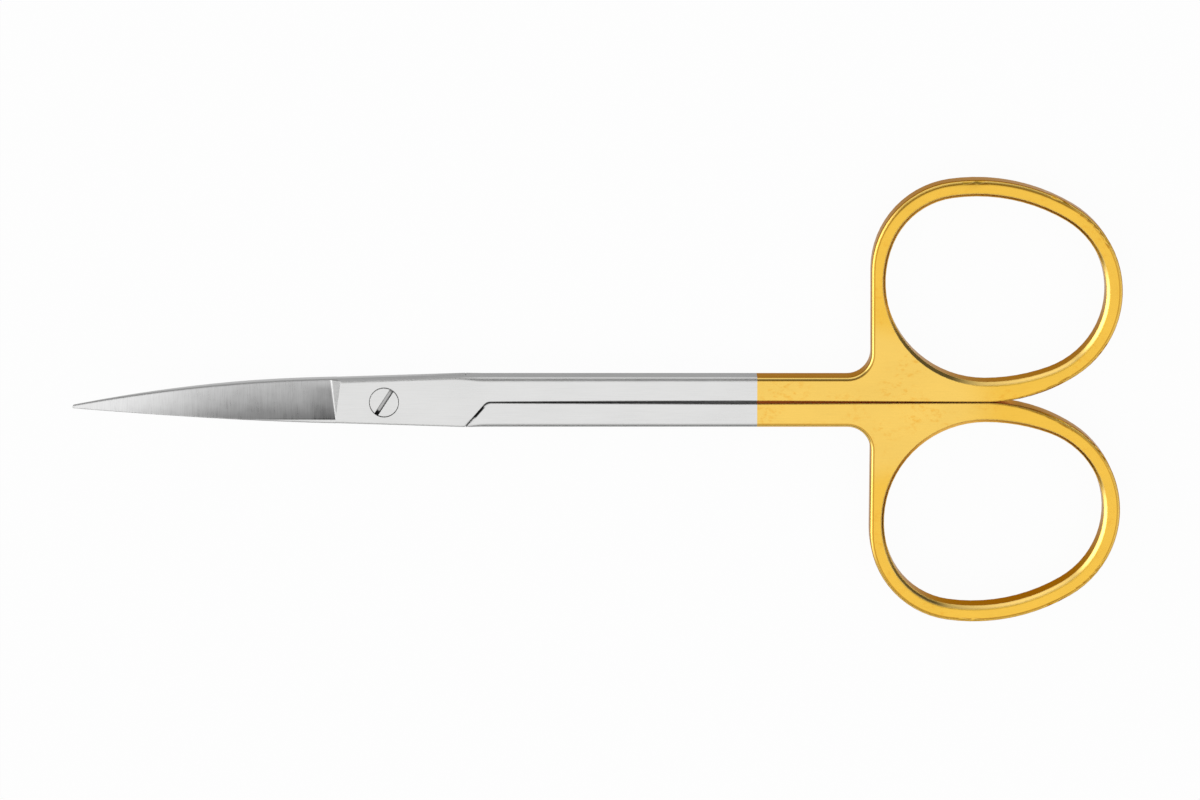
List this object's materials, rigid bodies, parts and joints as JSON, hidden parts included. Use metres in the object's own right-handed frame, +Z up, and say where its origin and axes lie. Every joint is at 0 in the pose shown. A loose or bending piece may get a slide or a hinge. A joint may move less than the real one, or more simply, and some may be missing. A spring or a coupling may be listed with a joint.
{
  "type": "operating scissors",
  "caption": "Small curved surgical scissors with a screwed lap joint, ground blades and gold-plated finger rings.",
  "frame": {"origin": "on the pivot axis, in the plane that the closed scissors lie on", "axes": "+X along the length from the pivot towards the finger rings, +Y towards the front half's ring, +Z up out of the screw's head, the way the blade tips curve"},
  "size_m": [0.1147, 0.049, 0.0069],
  "materials": {
    "steel": "satin, with ground blades; rings and shank ends gold plated",
    "carbide": "fine ground",
    "screw": "satin"
  },
  "bodies": {
    "rear_arm": {"rear_half": "steel", "rear_carbide_edge": "carbide", "pivot_screw": "screw"},
    "front_arm": {"front_half": "steel", "front_carbide_edge": "carbide"}
  },
  "joints": [
    {"name": "pivot", "type": "hinge", "parent": "rear_arm", "child": "front_arm", "pos_m": [0, 0, 0.0019], "axis": [0, 0, 1], "range_deg": [0, 90]}
  ]
}
